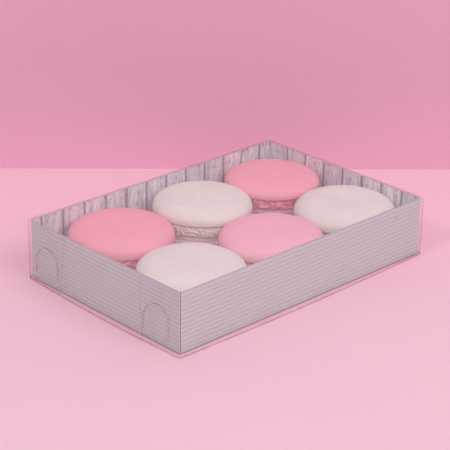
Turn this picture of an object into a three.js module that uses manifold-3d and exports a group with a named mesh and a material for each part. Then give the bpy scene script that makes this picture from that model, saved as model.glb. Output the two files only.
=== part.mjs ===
// Macaron box: a printed card tray under a clear folded lid, holding six macarons in two rows of three.
// Millimetres, +Z up. X runs along the long side, and the origin is the middle of the tray's underside.
import * as THREE from 'three';
import { mergeVertices } from 'three/addons/utils/BufferGeometryUtils.js';
import Module from 'manifold-3d';

// Tray: one sheet of card, scored and folded up, with glued corners.
const trayLength = 150;
const trayWidth = 99.2;
const trayHeight = 28.3;
const cardThickness = 0.5;
const trayCornerRadius = 1.2;
const trayFoldRadius = 0.9;

// Lid: one sheet of clear film, folded down on four sides over the tray.
const filmThickness = 0.3;
const lidSideClearance = 0.9;
const lidSeatGap = 0.1;
const lidCornerRadius = 1.5;
const lidFoldRadius = 0.7;
const lidBow = 1.7;
const lidCornerSpread = 1.3;

// Corner tabs run on from the lid's long sides and lap the inside of its ends.
const lapReachAtTop = 26;
const lapReachAtBottom = 23.4;
const lapInset = 0.8;

// Half-moon locks: arched slits that clinch each end to the tab behind it.
const lockWidth = 15.6;
const lockHeight = 13.6;
const lockBase = 5.3;
const lockFromCorner = 14.2;
const slitWidth = 0.4;

// Macarons: two domed shells with a ruffled foot, and a disc of filling between them.
const columns = 3;
const rows = 2;
const headroom = 1.0;
const bottomShellHeight = 11.6;
const topFootHeight = 5.2;
const bottomFootHeight = 4.4;
const footStep = 1.1;
const ruffleDepth = 0.35;
const ruffleCount = 18;
const lipHeight = 1.4;
const crownFlat = 7;
const domeSquareness = 2.5;
const fillingHeight = 2.2;
const fillingStep = 1.8;
const fillingBulge = 0.3;

// Each macaron stands in its own place of the grid. It fills most of that place, has slid a little in it, and has
// settled lower in the oven than the tallest one.
const macarons = [
  { place: 'front_left', flavour: 'vanilla', column: 0, row: 0, fill: 0.982, slid: [3.9, 0], settled: 1.5 },
  { place: 'front_middle', flavour: 'rose', column: 1, row: 0, fill: 0.969, slid: [2.3, 0], settled: 0.8 },
  { place: 'front_right', flavour: 'vanilla', column: 2, row: 0, fill: 0.965, slid: [0.8, 0.1], settled: 0 },
  { place: 'back_left', flavour: 'strawberry', column: 0, row: 1, fill: 0.986, slid: [5.9, -0.3], settled: 0.8 },
  { place: 'back_middle', flavour: 'vanilla', column: 1, row: 1, fill: 0.953, slid: [4.5, -1.5], settled: 0 },
  { place: 'back_right', flavour: 'strawberry', column: 2, row: 1, fill: 0.937, slid: [1.5, -0.6], settled: 1.4 },
];
const placeLength = (trayLength - 2 * cardThickness) / columns;
const placeWidth = (trayWidth - 2 * cardThickness) / rows;
const tallestTopShell = trayHeight - cardThickness - headroom - fillingHeight - bottomShellHeight;

const wasm = await Module();
wasm.setup();

const materials = {
  card: new THREE.MeshStandardMaterial({ color: 0xc4b4bd, roughness: 0.75, metalness: 0 }),
  film: new THREE.MeshStandardMaterial({
    color: 0xf4eef2, roughness: 0.08, metalness: 0, transparent: true, opacity: 0.25,
  }),
  vanilla: new THREE.MeshStandardMaterial({ color: 0xe4dad6, roughness: 0.6, metalness: 0 }),
  rose: new THREE.MeshStandardMaterial({ color: 0xf2aebf, roughness: 0.6, metalness: 0 }),
  strawberry: new THREE.MeshStandardMaterial({ color: 0xf2a0b4, roughness: 0.6, metalness: 0 }),
  buttercream: new THREE.MeshStandardMaterial({ color: 0xe8c8c4, roughness: 0.5, metalness: 0 }),
};

// A rounded rectangle as spines: the point at inset d is the spine's centre plus (radius - d) along its normal.
function rectangleSpines(length, width, radius, longSteps, shortSteps, arcSteps) {
  const cornerX = length / 2 - radius;
  const cornerY = width / 2 - radius;
  const corners = [[cornerX, -cornerY], [cornerX, cornerY], [-cornerX, cornerY], [-cornerX, -cornerY]];
  const spines = [];
  corners.forEach(([x, y], corner) => {
    const startAngle = (corner - 1) * Math.PI / 2;
    for (let step = 0; step <= arcSteps; step += 1) {
      const angle = startAngle + step / arcSteps * Math.PI / 2;
      spines.push({ centre: new THREE.Vector2(x, y), normal: new THREE.Vector2(Math.cos(angle), Math.sin(angle)) });
    }
    const [nextX, nextY] = corners[(corner + 1) % 4];
    const sideSteps = corner % 2 === 0 ? shortSteps : longSteps;
    const sideNormal = spines.at(-1).normal;
    for (let step = 1; step < sideSteps; step += 1) {
      const share = step / sideSteps;
      spines.push({
        centre: new THREE.Vector2(x + (nextX - x) * share, y + (nextY - y) * share),
        normal: sideNormal,
      });
    }
  });
  return spines;
}

function ringAt(spines, radius, inset, height) {
  return spines.map(({ centre, normal }) => new THREE.Vector3(
    centre.x + normal.x * (radius - inset),
    centre.y + normal.y * (radius - inset),
    height,
  ));
}

// Joins a list of rings into one closed skin, with a fan at each end.
function loftRings(rings) {
  const count = rings[0].length;
  const points = rings.flat();
  const middle = (ring) => ring.reduce((sum, point) => sum.add(point), new THREE.Vector3()).divideScalar(count);
  const firstMiddle = points.push(middle(rings[0])) - 1;
  const lastMiddle = points.push(middle(rings.at(-1))) - 1;
  const faces = [];
  for (let ring = 0; ring + 1 < rings.length; ring += 1) {
    for (let step = 0; step < count; step += 1) {
      const next = (step + 1) % count;
      const [upper, lower] = [ring * count, (ring + 1) * count];
      faces.push(upper + step, lower + step, lower + next, upper + step, lower + next, upper + next);
    }
  }
  const last = (rings.length - 1) * count;
  for (let step = 0; step < count; step += 1) {
    const next = (step + 1) % count;
    faces.push(firstMiddle, step, next, lastMiddle, last + next, last + step);
  }
  return indexedGeometry(points, faces);
}

function indexedGeometry(points, faces) {
  const geometry = new THREE.BufferGeometry();
  geometry.setAttribute('position', new THREE.Float32BufferAttribute(points.flatMap((p) => [p.x, p.y, p.z]), 3));
  geometry.setIndex(faces);
  return geometry;
}

// A slab whose grid of points is given by place(across, up, depth), each from 0 to 1.
function slabGeometry(acrossSteps, upSteps, place) {
  const points = [];
  const faces = [];
  const index = (across, up, depth) => (depth * (upSteps + 1) + up) * (acrossSteps + 1) + across;
  for (let depth = 0; depth <= 1; depth += 1) {
    for (let up = 0; up <= upSteps; up += 1) {
      for (let across = 0; across <= acrossSteps; across += 1) {
        points.push(place(across / acrossSteps, up / upSteps, depth));
      }
    }
  }
  const quad = (a, b, c, d) => faces.push(a, b, c, a, c, d);
  for (let up = 0; up < upSteps; up += 1) {
    for (let across = 0; across < acrossSteps; across += 1) {
      quad(index(across, up, 0), index(across + 1, up, 0), index(across + 1, up + 1, 0), index(across, up + 1, 0));
      quad(index(across, up, 1), index(across, up + 1, 1), index(across + 1, up + 1, 1), index(across + 1, up, 1));
    }
    quad(index(0, up, 1), index(0, up, 0), index(0, up + 1, 0), index(0, up + 1, 1));
    quad(index(acrossSteps, up, 0), index(acrossSteps, up, 1), index(acrossSteps, up + 1, 1),
      index(acrossSteps, up + 1, 0));
  }
  for (let across = 0; across < acrossSteps; across += 1) {
    quad(index(across, 0, 1), index(across + 1, 0, 1), index(across + 1, 0, 0), index(across, 0, 0));
    quad(index(across, upSteps, 0), index(across + 1, upSteps, 0), index(across + 1, upSteps, 1),
      index(across, upSteps, 1));
  }
  return indexedGeometry(points, faces);
}

function toSolid(geometry) {
  const bare = geometry.clone();
  bare.deleteAttribute('normal');
  bare.deleteAttribute('uv');
  const merged = mergeVertices(bare, 1e-4);
  return new wasm.Manifold(new wasm.Mesh({
    numProp: 3,
    vertProperties: new Float32Array(merged.attributes.position.array),
    triVerts: new Uint32Array(merged.index.array),
  }));
}

// Turns a mesh that was mirrored the right way out before it becomes a solid.
function toSolidFacingOut(geometry) {
  const solid = toSolid(geometry);
  if (solid.volume() > 0) return solid;
  const turned = geometry.clone();
  const index = Array.from(turned.index.array);
  for (let face = 0; face < index.length; face += 3) {
    [index[face], index[face + 1]] = [index[face + 1], index[face]];
  }
  turned.setIndex(index);
  return toSolid(turned);
}

function toGeometry(solid) {
  const mesh = solid.getMesh();
  const geometry = new THREE.BufferGeometry();
  geometry.setAttribute('position', new THREE.BufferAttribute(new Float32Array(mesh.vertProperties), 3));
  geometry.setIndex(Array.from(mesh.triVerts));
  geometry.computeVertexNormals();
  return geometry;
}

function namedMesh(name, geometry, material) {
  const mesh = new THREE.Mesh(geometry, material);
  mesh.name = name;
  return mesh;
}

// The tray's walls and floor are one skin of card, rounded where it is folded.
function trayShell() {
  const arcSteps = 3;
  const spines = rectangleSpines(trayLength, trayWidth, trayCornerRadius, 1, 1, arcSteps);
  const ring = (inset, height) => ringAt(spines, trayCornerRadius, inset, height);
  const innerFold = trayFoldRadius - cardThickness;
  const rings = [];
  for (let step = 0; step <= arcSteps; step += 1) {
    const angle = (1 - step / arcSteps) * Math.PI / 2;
    rings.push(ring(
      cardThickness + innerFold * (1 - Math.cos(angle)),
      cardThickness + innerFold * (1 - Math.sin(angle)),
    ));
  }
  rings.push(ring(cardThickness, trayHeight));
  rings.push(ring(0, trayHeight));
  for (let step = 0; step <= arcSteps; step += 1) {
    const angle = step / arcSteps * Math.PI / 2;
    rings.push(ring(trayFoldRadius * (1 - Math.cos(angle)), trayFoldRadius * (1 - Math.sin(angle))));
  }
  return toSolid(loftRings(rings));
}

// The lid is drawn square and then eased: its free edges bow out, and its near left corner spreads a little.
const lidLength = trayLength + 2 * (lidSideClearance + filmThickness);
const lidWidth = trayWidth + 2 * (lidSideClearance + filmThickness);
const lidHeight = trayHeight + lidSeatGap + filmThickness;
const wallReach = 9;

function easeFilm(point) {
  const alongX = point.x / (lidLength / 2);
  const alongY = point.y / (lidWidth / 2);
  const slack = Math.pow(Math.max(0, 1 - point.z / (lidHeight - lidFoldRadius)), 1.3);
  const spread = lidCornerSpread * slack * Math.pow(Math.max(0, (1 - alongX) / 2 * (1 - alongY) / 2), 1.5);
  const bowX = lidBow * slack * Math.max(0, 1 - alongY * alongY) * Math.pow(Math.abs(alongX), wallReach);
  const bowY = lidBow * slack * Math.max(0, 1 - alongX * alongX) * Math.pow(Math.abs(alongY), wallReach);
  return new THREE.Vector3(
    point.x + Math.sign(point.x) * bowX - spread,
    point.y + Math.sign(point.y) * bowY - spread,
    point.z,
  );
}

function lidShell() {
  const [longSteps, shortSteps, arcSteps, wallSteps] = [10, 8, 3, 4];
  const spines = rectangleSpines(lidLength, lidWidth, lidCornerRadius, longSteps, shortSteps, arcSteps);
  const ring = (inset, height) => ringAt(spines, lidCornerRadius, inset, height).map(easeFilm);
  const wallTop = lidHeight - lidFoldRadius;
  const innerFold = lidFoldRadius - filmThickness;
  const rings = [];
  for (let step = 0; step <= arcSteps; step += 1) {
    const angle = (1 - step / arcSteps) * Math.PI / 2;
    rings.push(ring(lidFoldRadius * (1 - Math.cos(angle)), wallTop + lidFoldRadius * Math.sin(angle)));
  }
  for (let step = 1; step <= wallSteps; step += 1) rings.push(ring(0, wallTop * (1 - step / wallSteps)));
  for (let step = 0; step <= wallSteps; step += 1) rings.push(ring(filmThickness, wallTop * step / wallSteps));
  for (let step = 1; step <= arcSteps; step += 1) {
    const angle = step / arcSteps * Math.PI / 2;
    rings.push(ring(
      filmThickness + innerFold * (1 - Math.cos(angle)),
      wallTop + innerFold * Math.sin(angle),
    ));
  }
  return toSolid(loftRings(rings));
}

// A corner tab laps the inside of the end, wider at the top than at the bottom.
function cornerTab(endSign, sideSign) {
  const overlap = filmThickness / 4;
  const wallInside = lidLength / 2 - filmThickness;
  const start = lidWidth / 2 - filmThickness / 2;
  const top = lidHeight - lidFoldRadius - lapInset;
  const place = (across, up, depth) => {
    const reach = lapReachAtBottom + (lapReachAtTop - lapReachAtBottom) * up;
    return easeFilm(new THREE.Vector3(
      endSign * (wallInside + overlap - depth * (filmThickness + overlap)),
      sideSign * (start - across * reach),
      top * up,
    ));
  };
  return toSolidFacingOut(slabGeometry(8, 4, place));
}

// The slit runs up one leg of the arch, over its round head and down the other leg.
function lockSlit(endSign, sideSign) {
  const headRadius = lockWidth / 2;
  const legHeight = lockHeight - headRadius;
  const middle = sideSign * (lidWidth / 2 - lockFromCorner);
  const outside = lidLength / 2 + filmThickness;
  const headSteps = 10;
  const legSteps = 2;
  const path = [];
  for (let step = 0; step < legSteps; step += 1) path.push([-1, 0, -headRadius, legHeight * step / legSteps]);
  for (let step = 0; step <= headSteps; step += 1) {
    const angle = Math.PI * (1 - step / headSteps);
    const [outY, outZ] = [Math.cos(angle), Math.sin(angle)];
    path.push([outY, outZ, headRadius * outY, legHeight + headRadius * outZ]);
  }
  for (let step = legSteps - 1; step >= 0; step -= 1) path.push([1, 0, headRadius, legHeight * step / legSteps]);
  const place = (across, up, depth) => {
    const [outY, outZ, y, z] = path[Math.round(across * (path.length - 1))];
    const side = (up - 0.5) * slitWidth;
    return easeFilm(new THREE.Vector3(
      endSign * (outside - depth * filmThickness * 2),
      middle + y + outY * side,
      lockBase + z + outZ * side,
    ));
  };
  return toSolidFacingOut(slabGeometry(path.length - 1, 1, place));
}

function lidGeometry() {
  let lid = lidShell();
  for (const endSign of [-1, 1]) {
    for (const sideSign of [-1, 1]) lid = lid.add(cornerTab(endSign, sideSign));
  }
  for (const endSign of [-1, 1]) {
    for (const sideSign of [-1, 1]) lid = lid.subtract(lockSlit(endSign, sideSign));
  }
  return toGeometry(lid);
}

// Half of a shell's section, from the flat face up over the foot, the overhanging lip and the dome.
function shellProfile(radius, shellHeight, footHeight) {
  const foot = radius - footStep;
  const equator = footHeight + lipHeight;
  const profile = [
    [0, 0],
    [foot - ruffleDepth, 0],
    [foot, footHeight * 0.3],
    [foot, footHeight * 0.75],
    [foot - ruffleDepth, footHeight],
    [radius - lipHeight * 0.2, footHeight + lipHeight * 0.35],
  ];
  const domeSteps = 5;
  for (let step = 0; step < domeSteps; step += 1) {
    const angle = step / domeSteps * Math.PI / 2;
    profile.push([
      crownFlat + (radius - crownFlat) * Math.pow(Math.cos(angle), 2 / domeSquareness),
      equator + (shellHeight - equator) * Math.pow(Math.sin(angle), 2 / domeSquareness),
    ]);
  }
  profile.push([crownFlat, shellHeight], [0, shellHeight]);
  return profile;
}

// Ruffles the foot: two rows of small pleats, the upper row half a pleat round from the lower.
function ruffleFoot(geometry, radius, footHeight) {
  const position = geometry.attributes.position;
  const foot = radius - footStep;
  for (let point = 0; point < position.count; point += 1) {
    const [x, y, z] = [position.getX(point), position.getY(point), Math.abs(position.getZ(point))];
    const reach = Math.hypot(x, y);
    if (z > 0 && z < footHeight && Math.abs(reach - foot) < 0.01) {
      const turn = Math.atan2(y, x) * ruffleCount + (z > footHeight / 2 ? Math.PI : 0);
      const scale = (reach + ruffleDepth * Math.cos(turn)) / reach;
      position.setXY(point, x * scale, y * scale);
    }
  }
  return geometry;
}

function revolve(profile) {
  const turnSteps = ruffleCount * 2;
  const geometry = new THREE.LatheGeometry(profile.map(([r, z]) => new THREE.Vector2(r, z)), turnSteps);
  return geometry.rotateX(Math.PI / 2);
}

function topShellGeometry(radius, shellHeight) {
  return ruffleFoot(revolve(shellProfile(radius, shellHeight, topFootHeight)), radius, topFootHeight);
}

function bottomShellGeometry(radius) {
  const upright = shellProfile(radius, bottomShellHeight, bottomFootHeight);
  const turnedOver = upright.map(([r, z]) => [r, -z]).reverse();
  return ruffleFoot(revolve(turnedOver), radius, bottomFootHeight);
}

function fillingGeometry(radius) {
  const edge = radius - fillingStep;
  return revolve([
    [0, 0],
    [edge - fillingBulge, 0],
    [edge, fillingHeight / 2],
    [edge - fillingBulge, fillingHeight],
    [0, fillingHeight],
  ]);
}

function macaronGroup({ place, flavour, column, row, fill, slid, settled }) {
  const radius = fill * Math.min(placeLength, placeWidth) / 2;
  const group = new THREE.Group();
  group.position.set(
    (column - (columns - 1) / 2) * placeLength + slid[0],
    (row - (rows - 1) / 2) * placeWidth + slid[1],
    cardThickness,
  );
  const bottom = namedMesh(`macaron_${place}_bottom_shell`, bottomShellGeometry(radius), materials[flavour]);
  bottom.position.z = bottomShellHeight;
  const filling = namedMesh(`macaron_${place}_filling`, fillingGeometry(radius), materials.buttercream);
  filling.position.z = bottomShellHeight;
  const topShell = topShellGeometry(radius, tallestTopShell - settled);
  const top = namedMesh(`macaron_${place}_top_shell`, topShell, materials[flavour]);
  top.position.z = bottomShellHeight + fillingHeight;
  group.add(bottom, filling, top);
  return group;
}

const macaronBox = new THREE.Group();
macaronBox.add(namedMesh('tray', toGeometry(trayShell()), materials.card));
macaronBox.add(namedMesh('lid', lidGeometry(), materials.film));
for (const macaron of macarons) macaronBox.add(macaronGroup(macaron));

export default macaronBox;
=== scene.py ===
import math

import bpy
from mathutils import Matrix, Vector


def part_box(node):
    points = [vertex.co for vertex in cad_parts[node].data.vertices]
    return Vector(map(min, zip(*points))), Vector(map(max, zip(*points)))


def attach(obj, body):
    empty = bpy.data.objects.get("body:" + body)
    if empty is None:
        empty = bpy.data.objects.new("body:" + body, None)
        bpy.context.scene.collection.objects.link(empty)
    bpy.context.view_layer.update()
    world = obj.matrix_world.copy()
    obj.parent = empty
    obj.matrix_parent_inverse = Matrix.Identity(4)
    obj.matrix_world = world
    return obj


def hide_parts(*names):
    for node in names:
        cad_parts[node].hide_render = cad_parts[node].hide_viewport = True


MM = 0.001

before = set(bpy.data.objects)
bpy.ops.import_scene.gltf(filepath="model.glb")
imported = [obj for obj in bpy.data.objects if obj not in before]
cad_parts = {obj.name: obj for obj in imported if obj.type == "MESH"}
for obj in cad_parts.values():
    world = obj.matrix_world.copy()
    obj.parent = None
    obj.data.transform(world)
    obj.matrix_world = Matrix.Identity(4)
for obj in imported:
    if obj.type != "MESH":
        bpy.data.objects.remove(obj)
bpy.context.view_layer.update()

# Sizes read from the solids.
TRAY_LOW, TRAY_HIGH = (Vector(corner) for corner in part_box("tray"))
TRAY_SIZE = TRAY_HIGH - TRAY_LOW
LID_TOP = Vector(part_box("lid")[1]).z

# Card tray, and the slots of its materials.
CARD = 0.5 * MM
TRAY_CORNER = 1.2 * MM
TRAY_FOLD = 0.9 * MM
PLANKS = 1
CUT_CARD = 2
# The dark crease line; along the fold at the floor it is painted contact shadow.
CREASE_LINE_AND_SHADOW = 3

# Print on the card: level stripes outside and upright planks inside. A gap between planks lies this far
# short of the middle of a long wall, and of an end wall.
STRIPE_PITCH = 2.0 * MM
STRIPE_LINE = 0.34 * MM
PLANK_PITCH = 12.43 * MM
PLANK_GAP = 0.5 * MM
LONG_WALL_START = 7.1 * MM
END_WALL_START = 0.6 * MM

# Film lid, repeated from the solid: drawn square, then eased so that its free edges bow out.
FILM = 0.3 * MM
LID_CLEARANCE = 0.9 * MM
LID_LENGTH = TRAY_SIZE.x + 2 * (LID_CLEARANCE + FILM)
LID_WIDTH = TRAY_SIZE.y + 2 * (LID_CLEARANCE + FILM)
LID_CORNER = 1.5 * MM
LID_FOLD = 0.7 * MM
LID_BOW = 1.7 * MM
LID_SPREAD = 1.3 * MM
LID_WALL_REACH = 9
TAB_REACH_TOP = 26 * MM
TAB_REACH_BOTTOM = 23.4 * MM
TAB_INSET = 0.8 * MM
LOCK_WIDTH = 15.6 * MM
LOCK_HEIGHT = 13.6 * MM
LOCK_BASE = 5.3 * MM
LOCK_FROM_CORNER = 14.2 * MM
SLIT = 0.14 * MM
EDGE_BAND = 0.75 * MM
FOLDED_FILM = 1
CUT_FILM_AND_PAINTED_LINE = 2
# Each corner of the lid, as the side of its end and of its long wall.
LID_CORNERS = ((-1, -1), (-1, 1), (1, -1), (1, 1))

# Macarons: how high the ruffled foot and the rolled lip stand on each shell.
TOP_FOOT_HEIGHT = {
    "front_left": 4.2 * MM,
    "front_middle": 4.2 * MM,
    "front_right": 4.2 * MM,
    "back_left": 3.8 * MM,
    "back_middle": 5.5 * MM,
    "back_right": 5.2 * MM,
}
BOTTOM_FOOT_HEIGHT = 4.4 * MM
FOOT_STEP = 0.7 * MM
# The foot's edges are tucked in and its middle swells; then the lip rolls out to the widest place.
FOOT_TUCK = 0.45 * MM
FOOT_BELLY = 0.55 * MM
FOOT_ROUNDING = 0.3 * MM
LIP_HEIGHT = 0.9 * MM
LIP_START = 0.1 * MM
CROWN = 8 * MM
DOME_SQUARENESS = 2.6
SHELL_STEPS = 300
FILLING_EDGE = 0.7 * MM
FILLING_STEPS = 160
# Two textures roughen the foot: its name, its kind, its grain and how deep it goes.
FOOT_ROUGHNESS = (
    ("foot_ruffles", "CLOUDS", 1.9 * MM, 1.3 * MM),
    ("foot_bubbles", "VORONOI", 1.25 * MM, 1.5 * MM),
)
# A place this far below the unroughened foot takes the full colour of a crevice, which is painted light:
# shade in the pink feet, a pinker glow of bounced light in the vanilla ones.
HOLLOW_DEPTH = 0.35 * MM
FLAVOURS = {
    "front_left": "vanilla",
    "front_middle": "rose",
    "front_right": "vanilla",
    "back_left": "strawberry",
    "back_middle": "vanilla",
    "back_right": "strawberry",
}

# Camera, worked out from the tray's corners in the photograph. Lens and sensor in millimetres.
CAMERA_PLACE = Vector((-469.9, -484.6, 315.2)) * MM
VIEW_HEADING = math.radians(46.06)
VIEW_FALL = math.radians(23.61)
VIEW_ROLL = math.radians(0.93)
LENS = 129.8
SENSOR_WIDTH = 36

# Where the floor meets the backdrop, at the left and right edges of the picture.
BACKDROP_LEFT = Vector((-6.6, 166.9, 0)) * MM
BACKDROP_RIGHT = Vector((170, 8.6, 0)) * MM


def linear(hex_colour):
    """An sRGB hex colour as the linear RGBA that Blender's sockets take."""
    values = [int(hex_colour[place:place + 2], 16) / 255 for place in (1, 3, 5)]
    return (*[v / 12.92 if v <= 0.04045 else ((v + 0.055) / 1.055) ** 2.4 for v in values], 1.0)


# Modelling helpers


def deselect_all():
    if bpy.context.object and bpy.context.object.mode != "OBJECT":
        bpy.ops.object.mode_set(mode="OBJECT")
    bpy.ops.object.select_all(action="DESELECT")


def make_active(piece):
    deselect_all()
    piece.select_set(True)
    bpy.context.view_layer.objects.active = piece


def add_box(name, size, middle):
    """A box primitive, with its size and place in its mesh."""
    deselect_all()
    bpy.ops.mesh.primitive_cube_add(size=1, location=middle)
    piece = bpy.context.object
    piece.name = name
    piece.scale = size
    bpy.ops.object.transform_apply(location=True, rotation=True, scale=True)
    return piece


def select_faces(piece, wanted):
    """Selects the faces for which wanted(middle, normal) is true, and leaves the piece in edit mode."""
    make_active(piece)
    bpy.ops.object.mode_set(mode="EDIT")
    bpy.ops.mesh.select_mode(type="FACE")
    bpy.ops.mesh.select_all(action="DESELECT")
    bpy.ops.object.mode_set(mode="OBJECT")
    for face in piece.data.polygons:
        face.select = wanted(face.center, face.normal)
    bpy.ops.object.mode_set(mode="EDIT")


def select_edges(piece, wanted):
    """Selects the edges for which wanted(start, end) is true, and leaves the piece in edit mode."""
    make_active(piece)
    bpy.ops.object.mode_set(mode="EDIT")
    bpy.ops.mesh.select_mode(type="EDGE")
    bpy.ops.mesh.select_all(action="DESELECT")
    bpy.ops.object.mode_set(mode="OBJECT")
    corners = piece.data.vertices
    for edge in piece.data.edges:
        start, end = edge.vertices
        edge.select = wanted(corners[start].co, corners[end].co)
    bpy.ops.object.mode_set(mode="EDIT")


def cut_across(piece, axis, places):
    """Cuts the whole mesh by a plane across axis at each place."""
    make_active(piece)
    bpy.ops.object.mode_set(mode="EDIT")
    for place in places:
        point = [0, 0, 0]
        normal = [0, 0, 0]
        point[axis] = place
        normal[axis] = 1
        bpy.ops.mesh.select_all(action="SELECT")
        bpy.ops.mesh.bisect(plane_co=point, plane_no=normal)
    bpy.ops.object.mode_set(mode="OBJECT")


def spread(low, high, count):
    """Places between low and high, evenly spread, without the two ends."""
    return [low + (high - low) * step / (count + 1) for step in range(1, count + 1)]


def apply_modifier(piece, kind, **settings):
    make_active(piece)
    modifier = piece.modifiers.new(kind.lower(), kind)
    for name, value in settings.items():
        setattr(modifier, name, value)
    bpy.ops.object.modifier_apply(modifier=modifier.name)


def close_and_face_out(piece):
    make_active(piece)
    bpy.ops.object.mode_set(mode="EDIT")
    bpy.ops.mesh.select_all(action="SELECT")
    bpy.ops.mesh.remove_doubles(threshold=0.001 * MM)
    bpy.ops.mesh.normals_make_consistent(inside=False)
    bpy.ops.object.mode_set(mode="OBJECT")


def smooth(piece, degrees):
    make_active(piece)
    bpy.ops.object.shade_smooth_by_angle(angle=math.radians(degrees))


def give_materials(piece, materials):
    piece.data.materials.clear()
    for material in materials:
        piece.data.materials.append(material)


def assign_selected(piece, slot):
    """Gives the faces selected in edit mode one of the piece's material slots."""
    piece.active_material_index = slot
    bpy.ops.object.material_slot_assign()
    bpy.ops.object.mode_set(mode="OBJECT")


def delete_faces(piece, wanted):
    select_faces(piece, wanted)
    bpy.ops.mesh.delete(type="FACE")
    bpy.ops.object.mode_set(mode="OBJECT")


def bevel_edges(piece, wanted, offset, segments):
    """Rounds the wanted edges, and leaves the new faces selected in edit mode."""
    select_edges(piece, wanted)
    bpy.ops.mesh.bevel(offset=offset, segments=segments, affect="EDGES")


def paint_points(piece, name, values):
    """Stores one number per point of the mesh, for a material to read."""
    store = piece.data.attributes.new(name, "FLOAT", "POINT")
    store.data.foreach_set("value", values)


def distances_from(piece, middle):
    """How far each point of the mesh lies from the upright through middle."""
    return [math.hypot(point.co.x - middle.x, point.co.y - middle.y) for point in piece.data.vertices]


def unfold_sheet(piece):
    """A UV map in metres: along each wall and up it, and flat on the floor."""
    mesh = piece.data
    sheet = mesh.uv_layers.new(name="sheet")
    for face in mesh.polygons:
        normal = face.normal
        for loop in face.loop_indices:
            point = mesh.vertices[mesh.loops[loop].vertex_index].co
            if abs(normal.z) > 0.7:
                sheet.data[loop].uv = (point.x + LONG_WALL_START, point.y)
            elif abs(normal.x) > abs(normal.y):
                sheet.data[loop].uv = (point.y + END_WALL_START, point.z)
            else:
                sheet.data[loop].uv = (point.x + LONG_WALL_START, point.z)


# Material helpers


def feed(tree, socket, value):
    """Links a value that is a socket, and sets any other on the socket itself."""
    if isinstance(value, bpy.types.NodeSocket):
        tree.links.new(value, socket)
    else:
        socket.default_value = value


def add_node(tree, kind, inputs=None, **settings):
    """Adds a node, sets it up and feeds its inputs."""
    node = tree.nodes.new(kind)
    for name, value in settings.items():
        setattr(node, name, value)
    for name, value in (inputs or {}).items():
        feed(tree, node.inputs[name], value)
    return node


def start_material(name):
    material = bpy.data.materials.new(name)
    material.use_nodes = True
    tree = material.node_tree
    tree.nodes.clear()
    return material, tree


def finish_material(tree, shader):
    add_node(tree, "ShaderNodeOutputMaterial", {"Surface": shader.outputs[0]})


def blend_colours(tree, factor, first, second):
    mix = add_node(tree, "ShaderNodeMix", data_type="RGBA", clamp_result=True)
    for name, kind, value in (("Factor", "VALUE", factor), ("A", "RGBA", first), ("B", "RGBA", second)):
        feed(tree, next(s for s in mix.inputs if s.name == name and s.type == kind), value)
    return next(s for s in mix.outputs if s.type == "RGBA")


def blend_shaders(tree, factor, first, second):
    mix = add_node(tree, "ShaderNodeMixShader", {"Fac": factor})
    tree.links.new(first.outputs[0], mix.inputs[1])
    tree.links.new(second.outputs[0], mix.inputs[2])
    return mix


def noise(tree, vector, grain, detail=3.0, roughness=0.55):
    """Noise whose features are about grain metres across, from 0 to 1."""
    return add_node(tree, "ShaderNodeTexNoise", {
        "Vector": vector, "Scale": 1 / grain, "Detail": detail, "Roughness": roughness,
    }).outputs["Fac"]


def ramp_between(tree, value, low, high, out_low=0.0, out_high=1.0):
    return add_node(tree, "ShaderNodeMapRange", {
        "Value": value, "From Min": low, "From Max": high, "To Min": out_low, "To Max": out_high,
    }, interpolation_type="SMOOTHSTEP").outputs["Result"]


def calculate(tree, operation, first, second=0.0):
    node = add_node(tree, "ShaderNodeMath", operation=operation)
    for socket, value in zip(node.inputs, (first, second)):
        feed(tree, socket, value)
    return node.outputs[0]


def stretched(tree, vector, scale):
    return add_node(tree, "ShaderNodeMapping", {"Vector": vector, "Scale": scale}).outputs["Vector"]


def bumped(tree, height, strength, distance, **more):
    """A normal that follows the height, which stands for up to distance in metres."""
    inputs = {"Height": height, "Strength": strength, "Distance": distance, **more}
    return add_node(tree, "ShaderNodeBump", inputs).outputs["Normal"]


# Materials of the card tray


def striped_card():
    """Coated white card, printed: level grey-mauve stripes and worn flecks, matt with a slight sheen."""
    material, tree = start_material("printed_card_stripes")
    sheet = add_node(tree, "ShaderNodeUVMap", uv_map="sheet").outputs["UV"]
    up = add_node(tree, "ShaderNodeSeparateXYZ", {"Vector": sheet}).outputs["Y"]
    # The printed lines waver a little, as brushed lines do.
    waver = noise(tree, stretched(tree, sheet, (1, 3, 1)), 9 * MM)
    wavering_up = calculate(tree, "ADD", up, ramp_between(tree, waver, 0.3, 0.7, -0.12 * MM, 0.12 * MM))
    from_line = calculate(tree, "PINGPONG", wavering_up, STRIPE_PITCH / 2)
    line = ramp_between(tree, from_line, STRIPE_LINE * 0.45, STRIPE_LINE * 1.9, 1, 0)
    # Ink lies unevenly along each line.
    ink = noise(tree, stretched(tree, sheet, (0.25, 1, 1)), 1.4 * MM)
    line = calculate(tree, "MULTIPLY", line, ramp_between(tree, ink, 0.25, 0.7, 0.55, 1))
    cloud = noise(tree, sheet, 22 * MM, detail=2)
    ground = blend_colours(tree, cloud, linear("#D3C7CA"), linear("#CCBEC3"))
    colour = blend_colours(tree, line, ground, linear("#BEB1B7"))
    fleck = noise(tree, stretched(tree, sheet, (0.7, 1, 1)), 0.9 * MM, detail=2)
    fleck_patch = noise(tree, sheet, 11 * MM, detail=1)
    fleck = ramp_between(tree, fleck, 0.66, 0.75)
    fleck = calculate(tree, "MULTIPLY", fleck, ramp_between(tree, fleck_patch, 0.4, 0.65))
    colour = blend_colours(tree, fleck, colour, linear("#93869A"))
    fibre = noise(tree, sheet, 0.25 * MM, detail=4)
    surface = add_node(tree, "ShaderNodeBsdfPrincipled", {
        "Base Color": colour, "Normal": bumped(tree, fibre, 0.12, 0.05 * MM), "IOR": 1.45,
        "Roughness": ramp_between(tree, fibre, 0.3, 0.7, 0.52, 0.66),
    })
    finish_material(tree, surface)
    return material


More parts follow.
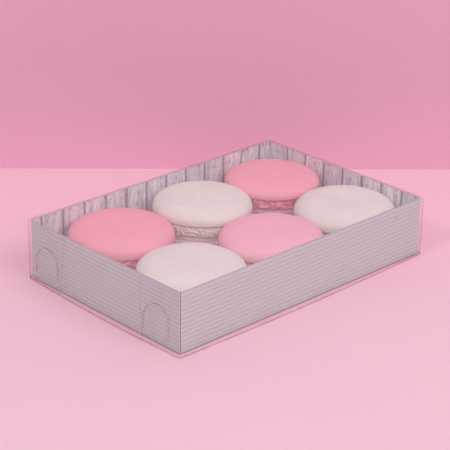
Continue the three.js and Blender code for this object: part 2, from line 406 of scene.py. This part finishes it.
def plank_card():
    """The same card inside, printed with whitewashed upright planks: streaky grain and dark gaps."""
    material, tree = start_material("printed_card_planks")
    sheet = add_node(tree, "ShaderNodeUVMap", uv_map="sheet").outputs["UV"]
    parts = add_node(tree, "ShaderNodeSeparateXYZ", {"Vector": sheet}).outputs
    waver = noise(tree, stretched(tree, sheet, (1, 0.5, 1)), 7 * MM)
    waver = ramp_between(tree, waver, 0.3, 0.7, -0.25 * MM, 0.25 * MM)
    along = calculate(tree, "ADD", parts["X"], waver)
    from_gap = calculate(tree, "PINGPONG", along, PLANK_PITCH / 2)
    gap = ramp_between(tree, from_gap, PLANK_GAP * 0.6, PLANK_GAP * 2.2, 1, 0)
    board = calculate(tree, "FLOOR", calculate(tree, "DIVIDE", along, PLANK_PITCH))
    # Each board has a tone of its own.
    tone = add_node(tree, "ShaderNodeTexWhiteNoise", {"W": board}, noise_dimensions="1D").outputs[0]
    # Grain runs up the planks: streaks under a millimetre wide and centimetres long.
    streaks = noise(tree, stretched(tree, sheet, (1, 0.11, 1)), 0.6 * MM, detail=4, roughness=0.65)
    broad = noise(tree, stretched(tree, sheet, (1, 0.12, 1)), 3.2 * MM, detail=2)
    pale = blend_colours(tree, tone, linear("#F9F5F4"), linear("#ECE5E8"))
    colour = blend_colours(tree, ramp_between(tree, broad, 0.4, 0.68), pale, linear("#D3CAD5"))
    streak_share = ramp_between(tree, streaks, 0.53, 0.66, 0, 0.9)
    colour = blend_colours(tree, streak_share, colour, linear("#9F92AA"))
    # Nail marks and scuffs gather near the top of the wall.
    top_share = ramp_between(tree, parts["Y"], 14 * MM, 27 * MM)
    scuff = noise(tree, stretched(tree, sheet, (1, 0.45, 1)), 1.3 * MM, detail=3)
    scuff = calculate(tree, "MULTIPLY", ramp_between(tree, scuff, 0.58, 0.7), top_share)
    colour = blend_colours(tree, scuff, colour, linear("#8C7D9A"))
    colour = blend_colours(tree, calculate(tree, "MULTIPLY", gap, 0.85), colour, linear("#8B7A96"))
    surface = add_node(tree, "ShaderNodeBsdfPrincipled", {
        "Base Color": colour, "Normal": bumped(tree, streaks, 0.1, 0.05 * MM), "IOR": 1.45,
        "Roughness": ramp_between(tree, streaks, 0.3, 0.7, 0.55, 0.7),
    })
    finish_material(tree, surface)
    return material


def crease_line_and_contact_shadow():
    """Scored and folded card, dark along the crease: a plain dark line down each rounded corner, and
    along the floor fold painted contact shadow where the tray meets the table.
    """
    material, tree = start_material("crease_line_and_contact_shadow")
    place = add_node(tree, "ShaderNodeTexCoord").outputs["Object"]
    mottle = noise(tree, stretched(tree, place, (1, 1, 0.4)), 1.1 * MM)
    colour = blend_colours(tree, mottle, linear("#766570"), linear("#5E4F5A"))
    surface = add_node(tree, "ShaderNodeBsdfPrincipled", {
        "Base Color": colour, "IOR": 1.45, "Roughness": ramp_between(tree, mottle, 0.3, 0.7, 0.55, 0.7),
    })
    finish_material(tree, surface)
    return material


def cut_card():
    """The cut edge of the board: uncoated fibre, a little darker than the printed face."""
    material, tree = start_material("cut_card_edge")
    place = add_node(tree, "ShaderNodeTexCoord").outputs["Object"]
    fibre = noise(tree, place, 0.4 * MM)
    colour = blend_colours(tree, fibre, linear("#BCADB6"), linear("#A493A0"))
    surface = add_node(tree, "ShaderNodeBsdfPrincipled", {
        "Base Color": colour, "Roughness": 0.8, "IOR": 1.45,
    })
    finish_material(tree, surface)
    return material


# Materials of the film lid


def clear_film(name, haze, tint, roughness, slant_tint):
    """Clear extruded polyester film: it mirrors at a slant, and a trace of haze greys what it covers."""
    material, tree = start_material(name)
    place = add_node(tree, "ShaderNodeTexCoord").outputs["Object"]
    # Slow waves from rolling and folding bend the reflections a little.
    waves = bumped(tree, noise(tree, place, 40 * MM, detail=0), 0.2, 0.1 * MM)
    rub = noise(tree, place, 12 * MM, detail=1)
    # Light that crosses a fold at a slant goes a long way inside the film and comes out darker.
    slant = add_node(tree, "ShaderNodeLayerWeight", {"Blend": 0.5, "Normal": waves}).outputs["Facing"]
    slant_share = ramp_between(tree, slant, 0.62, 0.95)
    passed = blend_colours(tree, slant_share, linear("#FEFEFE"), linear(slant_tint))
    see_through = add_node(tree, "ShaderNodeBsdfTransparent", {"Color": passed})
    milky = add_node(tree, "ShaderNodeBsdfDiffuse", {"Color": linear(tint)})
    haze_share = ramp_between(tree, rub, 0.3, 0.7, haze * 0.7, haze * 1.3)
    body = blend_shaders(tree, haze_share, see_through, milky)
    gloss = add_node(tree, "ShaderNodeBsdfGlossy", {
        "Color": linear("#FFFFFF"), "Roughness": roughness, "Normal": waves,
    })
    # Both faces mirror alike: a little straight on, more and more at a slant.
    mirror_share = calculate(tree, "MULTIPLY", calculate(tree, "POWER", slant, 5.0), 0.2)
    film = blend_shaders(tree, calculate(tree, "ADD", mirror_share, 0.004), body, gloss)
    # Lamps shine straight through to the card and the macarons.
    lamp_ray = add_node(tree, "ShaderNodeLightPath").outputs["Is Shadow Ray"]
    unshaded = add_node(tree, "ShaderNodeBsdfTransparent", {"Color": linear("#FDFDFD")})
    finish_material(tree, blend_shaders(tree, lamp_ray, film, unshaded))
    return material


# Materials of the macarons


def meringue(name, shell, deep, crumb_and_painted_light):
    """Baked almond meringue: a fine dry skin with a soft glow, and a crumbly ruffled foot."""
    material, tree = start_material(name)
    place = add_node(tree, "ShaderNodeTexCoord").outputs["Object"]
    foot = add_node(tree, "ShaderNodeAttribute", attribute_name="foot").outputs["Fac"]
    hollow = add_node(tree, "ShaderNodeAttribute", attribute_name="hollow").outputs["Fac"]
    patches = ramp_between(tree, noise(tree, place, 7 * MM, detail=2), 0.3, 0.75, 0, 0.15)
    colour = blend_colours(tree, patches, linear(shell), linear(deep))
    # Ground almond shows as fine specks, about a third of a millimetre across.
    speck = noise(tree, place, 0.35 * MM, detail=2)
    colour = blend_colours(tree, ramp_between(tree, speck, 0.62, 0.74, 0, 0.04), colour, linear(crumb_and_painted_light))
    # Bubbles burst in the foot, and the torn rims catch more of the colour. Deep places in the foot take
    # it too, as painted light: darker shade in the pink feet, a pinker bounced glow in the vanilla ones.
    bubbles = add_node(tree, "ShaderNodeTexVoronoi", {
        "Vector": place, "Scale": 1 / (1.1 * MM),
    }).outputs["Distance"]
    torn = calculate(tree, "MULTIPLY", ramp_between(tree, bubbles, 0.25, 0.55, 1, 0), 0.7)
    crevice = calculate(tree, "MULTIPLY", calculate(tree, "ADD", torn, hollow), foot)
    colour = blend_colours(tree, crevice, colour, linear(crumb_and_painted_light))
    skin = bumped(tree, noise(tree, place, 0.5 * MM, detail=3), 0.08, 0.05 * MM)
    crumbs = bumped(tree, bubbles, calculate(tree, "MULTIPLY", foot, 0.45), 0.5 * MM, Normal=skin)
    surface = add_node(tree, "ShaderNodeBsdfPrincipled", {
        "Base Color": colour, "Normal": crumbs, "IOR": 1.45,
        "Roughness": ramp_between(tree, speck, 0.3, 0.7, 0.55, 0.72),
        "Subsurface Weight": 0.06, "Subsurface Scale": 1.0 * MM,
    })
    finish_material(tree, surface)
    return material


def buttercream():
    """Piped buttercream: smooth and fatty, softly shining, with faint drag lines round it."""
    material, tree = start_material("buttercream")
    place = add_node(tree, "ShaderNodeTexCoord").outputs["Object"]
    drag = noise(tree, stretched(tree, place, (0.15, 0.15, 1)), 0.7 * MM)
    colour = blend_colours(tree, drag, linear("#FCEBE7"), linear("#F4D8D6"))
    surface = add_node(tree, "ShaderNodeBsdfPrincipled", {
        "Base Color": colour, "Normal": bumped(tree, drag, 0.3, 0.12 * MM), "IOR": 1.46,
        "Roughness": ramp_between(tree, drag, 0.3, 0.7, 0.32, 0.45),
        "Subsurface Weight": 0.2, "Subsurface Scale": 1.5 * MM,
    })
    finish_material(tree, surface)
    return material


# The tray


def make_tray():
    """Folded up from one sheet, open at the top and rounded at its folds; the card grows inwards."""
    tray = add_box("card_tray", TRAY_SIZE, (TRAY_LOW + TRAY_HIGH) / 2)
    give_materials(tray, [striped_card(), plank_card(), cut_card(), crease_line_and_contact_shadow()])
    delete_faces(tray, lambda middle, normal: normal.z > 0.5)
    bevel_edges(tray, lambda start, end: abs(start.z - end.z) > TRAY_SIZE.z / 2, TRAY_CORNER, 5)
    bpy.ops.object.mode_set(mode="OBJECT")
    # Only the middle of each rounded corner takes the dark crease line.
    select_faces(tray, lambda middle, normal: (
        abs(abs(normal.x) - abs(normal.y)) < 0.1 and abs(normal.z) < 0.1
    ))
    assign_selected(tray, CREASE_LINE_AND_SHADOW)
    bevel_edges(tray, lambda start, end: start.z < 0.1 * MM and end.z < 0.1 * MM, TRAY_FOLD, 4)
    bpy.ops.object.mode_set(mode="OBJECT")
    # So do the two middle strips of the fold along the floor, where the dark is painted contact shadow.
    select_faces(tray, lambda middle, normal: -0.85 < normal.z < -0.3)
    assign_selected(tray, CREASE_LINE_AND_SHADOW)
    cut_across(tray, 2, spread(TRAY_FOLD, TRAY_SIZE.z, 5))
    unfold_sheet(tray)
    apply_modifier(tray, "SOLIDIFY", thickness=CARD, offset=-1, use_even_offset=True,
                   material_offset=PLANKS, material_offset_rim=CUT_CARD)
    # Inside, the planks run on through the creases.
    for face in tray.data.polygons:
        if face.material_index == CREASE_LINE_AND_SHADOW and faces_inwards(face):
            face.material_index = PLANKS
    smooth(tray, 35)
    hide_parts("tray")
    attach(tray, "tray")


def faces_inwards(face):
    """True for a face of the inner wall: its normal points towards the middle of the tray."""
    return face.normal.x * face.center.x + face.normal.y * face.center.y < 0


# The lid


def ease_film(point):
    """The film relaxes: its free edges bow out and its near left corner spreads."""
    along_x = point.x / (LID_LENGTH / 2)
    along_y = point.y / (LID_WIDTH / 2)
    slack = max(0.0, 1 - point.z / (LID_TOP - LID_FOLD)) ** 1.3
    corner = LID_SPREAD * slack * max(0.0, (1 - along_x) / 2 * (1 - along_y) / 2) ** 1.5
    bow_x = LID_BOW * slack * max(0.0, 1 - along_y ** 2) * abs(along_x) ** LID_WALL_REACH
    bow_y = LID_BOW * slack * max(0.0, 1 - along_x ** 2) * abs(along_y) ** LID_WALL_REACH
    return Vector((
        point.x + math.copysign(bow_x, point.x) - corner,
        point.y + math.copysign(bow_y, point.y) - corner,
        point.z,
    ))


def make_lid(film, fold, edge):
    """The top panel and the four skirts, with rounded folds, corner tabs, locks and slack free edges."""
    cover = add_box("film_lid", (LID_LENGTH, LID_WIDTH, LID_TOP), (0, 0, LID_TOP / 2))
    delete_faces(cover, lambda middle, normal: normal.z < -0.5)
    give_materials(cover, [film, fold, edge])
    bevel_edges(cover, lambda start, end: abs(start.z - end.z) > LID_TOP / 2, LID_CORNER, 5)
    assign_selected(cover, FOLDED_FILM)
    bevel_edges(cover, lambda start, end: min(start.z, end.z) > LID_TOP - 0.1 * MM, LID_FOLD, 3)
    assign_selected(cover, FOLDED_FILM)
    # A narrow band along the free edges is painted as a dark pinkish line, as cut film shows: painted
    # shade for the light that the cut edge bends away.
    cut_across(cover, 2, [EDGE_BAND])
    select_faces(cover, lambda middle, normal: middle.z < EDGE_BAND)
    assign_selected(cover, CUT_FILM_AND_PAINTED_LINE)
    cut_across(cover, 2, spread(0, LID_TOP - LID_FOLD, 6))
    cut_across(cover, 0, spread(-LID_LENGTH / 2, LID_LENGTH / 2, 19))
    cut_across(cover, 1, spread(-LID_WIDTH / 2, LID_WIDTH / 2, 13))
    for end_side, long_side in LID_CORNERS:
        join_tab(cover, end_side, long_side, film)
    for point in cover.data.vertices:
        point.co = ease_film(point.co)
    apply_modifier(cover, "SOLIDIFY", thickness=FILM, offset=-1, use_even_offset=True,
                   material_offset_rim=CUT_FILM_AND_PAINTED_LINE)
    # The free edges are trimmed level with the table.
    for point in cover.data.vertices:
        point.co.z = max(point.co.z, 0)
    for end_side, long_side in LID_CORNERS:
        cut_lock(cover, end_side, long_side, edge)
    smooth(cover, 35)
    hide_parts("lid")
    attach(cover, "lid")


def join_tab(cover, end_side, long_side, film):
    """A corner tab laps the inside of the end; it is wider at the top than at the bottom."""
    deselect_all()
    bpy.ops.mesh.primitive_grid_add(x_subdivisions=9, y_subdivisions=6, size=1)
    tab = bpy.context.object
    give_materials(tab, [film])
    top = LID_TOP - LID_FOLD - TAB_INSET
    for point in tab.data.vertices:
        across = point.co.x + 0.5
        up = point.co.y + 0.5
        reach = TAB_REACH_BOTTOM + (TAB_REACH_TOP - TAB_REACH_BOTTOM) * up
        point.co = (
            end_side * (LID_LENGTH / 2 - 2 * FILM),
            long_side * (LID_WIDTH / 2 - LID_CORNER / 2 - across * (reach - LID_CORNER / 2)),
            top * up,
        )
    # The grid faces along Z when made; each tab is turned to face out of its own end.
    make_active(tab)
    bpy.ops.object.mode_set(mode="EDIT")
    bpy.ops.mesh.select_all(action="SELECT")
    if tab.data.polygons[0].normal.x * end_side < 0:
        bpy.ops.mesh.flip_normals()
    bpy.ops.object.mode_set(mode="OBJECT")
    deselect_all()
    tab.select_set(True)
    cover.select_set(True)
    bpy.context.view_layer.objects.active = cover
    bpy.ops.object.join()


def cut_lock(cover, end_side, long_side, edge):
    """An arched slit through the end and the tab behind it: a half-moon tongue that clinches the two."""
    head = LOCK_WIDTH / 2
    leg = LOCK_HEIGHT - head
    middle_y = long_side * (LID_WIDTH / 2 - LOCK_FROM_CORNER)
    outside = LID_LENGTH / 2 + 3 * MM
    depth = 6 * MM
    # Each point of the arch: which way is out, across and up, and then its place, across and up.
    path = [(-1, 0, -head, 0), (-1, 0, -head, leg / 2)]
    arch_steps = 12
    for step in range(arch_steps + 1):
        angle = math.pi * (1 - step / arch_steps)
        out_y, out_z = math.cos(angle), math.sin(angle)
        path.append((out_y, out_z, head * out_y, leg + head * out_z))
    path += [(1, 0, head, leg / 2), (1, 0, head, 0)]
    deselect_all()
    bpy.ops.mesh.primitive_grid_add(x_subdivisions=len(path) - 1, y_subdivisions=1, size=1)
    cutter = bpy.context.object
    for point in cutter.data.vertices:
        out_y, out_z, y, z = path[round((point.co.x + 0.5) * (len(path) - 1))]
        side = math.copysign(SLIT / 2, point.co.y)
        point.co = (end_side * outside, middle_y + y + out_y * side, LOCK_BASE + z + out_z * side)
    give_materials(cutter, [edge])
    make_active(cutter)
    bpy.ops.object.mode_set(mode="EDIT")
    bpy.ops.mesh.select_all(action="SELECT")
    bpy.ops.mesh.extrude_region_move(TRANSFORM_OT_translate={"value": (-end_side * depth, 0, 0)})
    bpy.ops.object.mode_set(mode="OBJECT")
    close_and_face_out(cutter)
    apply_modifier(cover, "BOOLEAN", operation="DIFFERENCE", solver="EXACT", use_self=True,
                   object=cutter, material_mode="TRANSFER")
    bpy.data.objects.remove(cutter)


# The macarons


def shell_profile(radius, height, foot_height):
    """Points of (radius, height) from the flat face up over foot, lip and dome."""
    foot = radius - FOOT_STEP
    # The flat face, which starts to turn up just inside the foot.
    profile = [(0, 0), (foot * 0.5, 0), (foot - 1.6 * MM, 0), (foot - 0.6 * MM, 0.12 * MM)]
    rows = 13
    for row in range(rows + 1):
        up = row / rows
        belly = math.sin(math.pi * up) ** 0.5 * FOOT_BELLY
        profile.append((foot - FOOT_TUCK + belly, FOOT_ROUNDING + up * (foot_height - FOOT_ROUNDING)))
    # The lip rolls out from the top of the foot, and the dome starts where it is widest.
    equator = foot_height + LIP_HEIGHT
    lip_steps = 6
    for step in range(1, lip_steps):
        angle = math.pi / 2 * step / lip_steps
        profile.append((
            foot + (radius - foot) * math.sin(angle) ** 0.7,
            foot_height + LIP_START + (LIP_HEIGHT - LIP_START) * (1 - math.cos(angle)),
        ))
    dome_steps = 22
    for step in range(dome_steps + 1):
        angle = math.pi / 2 * step / dome_steps
        profile.append((
            CROWN + (radius - CROWN) * max(0.0, math.cos(angle)) ** (2 / DOME_SQUARENESS),
            equator + (height - equator) * math.sin(angle) ** (2 / DOME_SQUARENESS),
        ))
    profile += [(CROWN * 0.5, height), (0, height)]
    return profile


def spin_profile(name, profile, middle, steps):
    """Draws the profile point by point and spins it round the upright through middle."""
    deselect_all()
    bpy.ops.mesh.primitive_plane_add(size=0.01 * MM, location=(0, 0, 0))
    piece = bpy.context.object
    piece.name = name
    bpy.ops.object.mode_set(mode="EDIT")
    bpy.ops.mesh.select_mode(type="VERT")
    bpy.ops.mesh.select_all(action="SELECT")
    bpy.ops.mesh.merge(type="CENTER")
    place = Vector((0, 0, 0))
    for step, (radius, height) in enumerate(profile):
        point = middle + Vector((radius, 0, height))
        if step == 0:
            bpy.ops.transform.translate(value=point - place)
        else:
            bpy.ops.mesh.extrude_region_move(TRANSFORM_OT_translate={"value": point - place})
        place = point
    bpy.ops.mesh.select_all(action="SELECT")
    bpy.ops.mesh.spin(steps=steps, angle=2 * math.pi, center=middle, axis=(0, 0, 1))
    bpy.ops.object.mode_set(mode="OBJECT")
    close_and_face_out(piece)
    return piece


def ruffle_foot(shell, middle, flat_height, direction, foot_height):
    """Pushes the foot in and out into small bubbles and ruffles, and stores how deep each point lies."""
    group = shell.vertex_groups.new(name="foot_zone")
    reach = distances_from(shell, middle)
    widest = max(reach)
    weights = []
    for point in shell.data.vertices:
        height = (point.co.z - flat_height) * direction
        rise = min(1.0, max(0.0, height / (0.5 * MM)))
        fall = min(1.0, max(0.0, (foot_height + 0.3 * MM - height) / (0.5 * MM)))
        weight = rise * fall if reach[point.index] > widest - 3 * MM else 0.0
        weights.append(weight)
        group.add([point.index], weight, "REPLACE")
    for name, kind, grain, depth in FOOT_ROUGHNESS:
        texture = bpy.data.textures.new(name, kind)
        texture.noise_scale = grain
        apply_modifier(shell, "DISPLACE", texture=texture, texture_coords="LOCAL",
                       vertex_group="foot_zone", strength=depth, mid_level=0.55)
    sunk = [before - after for before, after in zip(reach, distances_from(shell, middle))]
    paint_points(shell, "foot", weights)
    paint_points(shell, "hollow", [min(1.0, max(0.0, depth / HOLLOW_DEPTH)) for depth in sunk])


def make_shell(node, foot_height, turned_over, material):
    low, high = (Vector(corner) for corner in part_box(node))
    height = high.z - low.z
    radius = (high.x - low.x) / 2 - 0.02 * MM
    middle = Vector(((low.x + high.x) / 2, (low.y + high.y) / 2, 0))
    flat_height = high.z if turned_over else low.z
    direction = -1 if turned_over else 1
    upright = shell_profile(radius, height, foot_height)
    profile = [(reach, flat_height + direction * up) for reach, up in upright]
    shell = spin_profile(node + "_baked", profile, middle, SHELL_STEPS)
    ruffle_foot(shell, middle, flat_height, direction, foot_height)
    # A slow swell keeps the dome from being a perfect turning.
    swell = bpy.data.textures.new("dome_swell", "CLOUDS")
    swell.noise_scale = 20 * MM
    apply_modifier(shell, "DISPLACE", texture=swell, texture_coords="LOCAL",
                   strength=0.08 * MM, mid_level=0.75)
    give_materials(shell, [material])
    smooth(shell, 60)
    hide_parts(node)
    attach(shell, "tray")


def make_filling(node, material):
    low, high = (Vector(corner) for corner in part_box(node))
    middle = Vector(((low.x + high.x) / 2, (low.y + high.y) / 2, 0))
    radius = (high.x - low.x) / 2
    depth = high.z - low.z
    profile = [(0, low.z), (radius * 0.5, low.z), (radius - 1.2 * MM, low.z)]
    for step in range(9):
        angle = -math.pi / 2 + math.pi * step / 8
        profile.append((
            radius - FILLING_EDGE + FILLING_EDGE * math.cos(angle),
            low.z + depth / 2 + depth / 2 * math.sin(angle),
        ))
    profile += [(radius - 1.2 * MM, high.z), (radius * 0.5, high.z), (0, high.z)]
    filling = spin_profile(node + "_piped", profile, middle, FILLING_STEPS)
    unevenness = bpy.data.textures.new("piping", "CLOUDS")
    unevenness.noise_scale = 6 * MM
    apply_modifier(filling, "DISPLACE", texture=unevenness, texture_coords="LOCAL", direction="X",
                   strength=0.2 * MM, mid_level=0.5)
    give_materials(filling, [material])
    smooth(filling, 60)
    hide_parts(node)
    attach(filling, "tray")


def make_macarons():
    materials = {
        # The last colour of each is the crumb of the specks and the foot, and in the foot's hollows it
        # is painted light: darker shade for the pinks, a pinker glow of bounced light for vanilla.
        "vanilla": meringue("meringue_vanilla", "#EBE1DC", "#E7DBD6", "#F6DCDA"),
        "rose": meringue("meringue_rose", "#FAB6C7", "#F8B0C1", "#EE97AE"),
        "strawberry": meringue("meringue_strawberry", "#FCA6B8", "#FAA0B3", "#EA86A0"),
    }
    cream = buttercream()
    for place, flavour in FLAVOURS.items():
        baked = materials[flavour]
        make_shell(f"macaron_{place}_bottom_shell", BOTTOM_FOOT_HEIGHT, True, baked)
        make_filling(f"macaron_{place}_filling", cream)
        make_shell(f"macaron_{place}_top_shell", TOP_FOOT_HEIGHT[place], False, baked)


# The studio


def plain_surface(name, near, far, axis, reach, bounced):
    """Plain pink paper whose seen colour shifts slowly along one axis, as painted light; what it throws
    on the box is near white.
    """
    material, tree = start_material(name)
    place = add_node(tree, "ShaderNodeTexCoord").outputs["Object"]
    along = add_node(tree, "ShaderNodeSeparateXYZ", {"Vector": place}).outputs[axis]
    seen = blend_colours(tree, ramp_between(tree, along, *reach), linear(near), linear(far))
    rays = add_node(tree, "ShaderNodeLightPath").outputs
    looked_at = calculate(tree, "MAXIMUM", rays["Is Camera Ray"], rays["Is Transmission Ray"])
    looked_at = calculate(tree, "MAXIMUM", looked_at, rays["Is Glossy Ray"])
    colour = blend_colours(tree, looked_at, linear(bounced), seen)
    surface = add_node(tree, "ShaderNodeBsdfDiffuse", {"Color": colour})
    finish_material(tree, surface)
    return material


def make_stage():
    """A pale floor, and a pale backdrop that meets it behind the box."""
    deselect_all()
    # The floor's own X runs away from the camera, and its seen colour shifts that way as painted light,
    # pinker further back.
    bpy.ops.mesh.primitive_plane_add(size=6, location=(0, 0, 0), rotation=(0, 0, VIEW_HEADING))
    floor = bpy.context.object
    floor.name = "floor"
    paper = plain_surface("pale_floor", "#F1C3D5", "#FABFD0", "X", (-0.06, 0.1), "#F2DEE7")
    give_materials(floor, [paper])
    middle = (BACKDROP_LEFT + BACKDROP_RIGHT) / 2
    along = BACKDROP_RIGHT - BACKDROP_LEFT
    bpy.ops.mesh.primitive_plane_add(size=1.2, location=middle + Vector((0, 0, 0.6)),
                                     rotation=(math.pi / 2, 0, math.atan2(along.y, along.x)))
    backdrop = bpy.context.object
    backdrop.name = "backdrop"
    # The backdrop's seen colour is painted light: lighter near the floor, darker higher up.
    paper = plain_surface("pale_backdrop", "#EDA6C1", "#E0A2BD", "Y", (-0.6, -0.54), "#E8DCE2")
    give_materials(backdrop, [paper])


def add_light(name, place, size, power):
    """A round soft lamp that shines at the middle of the floor under the box."""
    light = bpy.data.lights.new(name, "AREA")
    light.shape = "DISK"
    light.size = size
    light.energy = power
    lamp = bpy.data.objects.new(name, light)
    lamp.location = place
    lamp.rotation_euler = (Vector((0, 0, 0)) - Vector(place)).to_track_quat("-Z", "Y").to_euler()
    bpy.context.scene.collection.objects.link(lamp)


def light_studio():
    world = bpy.data.worlds.new("studio")
    bpy.context.scene.world = world
    world.use_nodes = True
    background = world.node_tree.nodes["Background"]
    background.inputs["Color"].default_value = linear("#FFFFFF")
    background.inputs["Strength"].default_value = 0.42
    # A broad key before the long side, a small lamp before the near end, and a broad one by the camera.
    add_light("key", (0.12, -1.05, 0.92), 0.8, 5.5)
    add_light("fill", (-1.02, 0, 0.96), 0.25, 2.6)
    add_light("front", (-0.8, -0.85, 0.95), 0.9, 5.2)


def place_camera():
    camera = bpy.data.objects.new("camera", bpy.data.cameras.new("camera"))
    camera.location = CAMERA_PLACE
    turn = Matrix.Rotation(VIEW_HEADING - math.pi / 2, 3, "Z")
    tip = Matrix.Rotation(math.pi / 2 - VIEW_FALL, 3, "X")
    roll = Matrix.Rotation(VIEW_ROLL, 3, "Z")
    camera.rotation_euler = (turn @ tip @ roll).to_euler()
    camera.data.lens = LENS
    camera.data.sensor_width = SENSOR_WIDTH
    bpy.context.scene.collection.objects.link(camera)
    bpy.context.scene.camera = camera


make_tray()
make_lid(
    clear_film("film_clear", 0.006, "#F2EEF0", 0.04, "#FEFEFE"),
    clear_film("film_fold", 0.08, "#D8C2CE", 0.12, "#EBD6E0"),
    # The cut edges, and the painted dark line along the free edges.
    clear_film("film_cut_edge_and_painted_line", 0.28, "#BC7F98", 0.3, "#E4C6D4"),
)
make_macarons()
make_stage()
light_studio()
place_camera()
bpy.context.scene.view_settings.view_transform = "Standard"
# A look through the lid and its tabs crosses many faces of film.
bpy.context.scene.cycles.transparent_max_bounces = 32
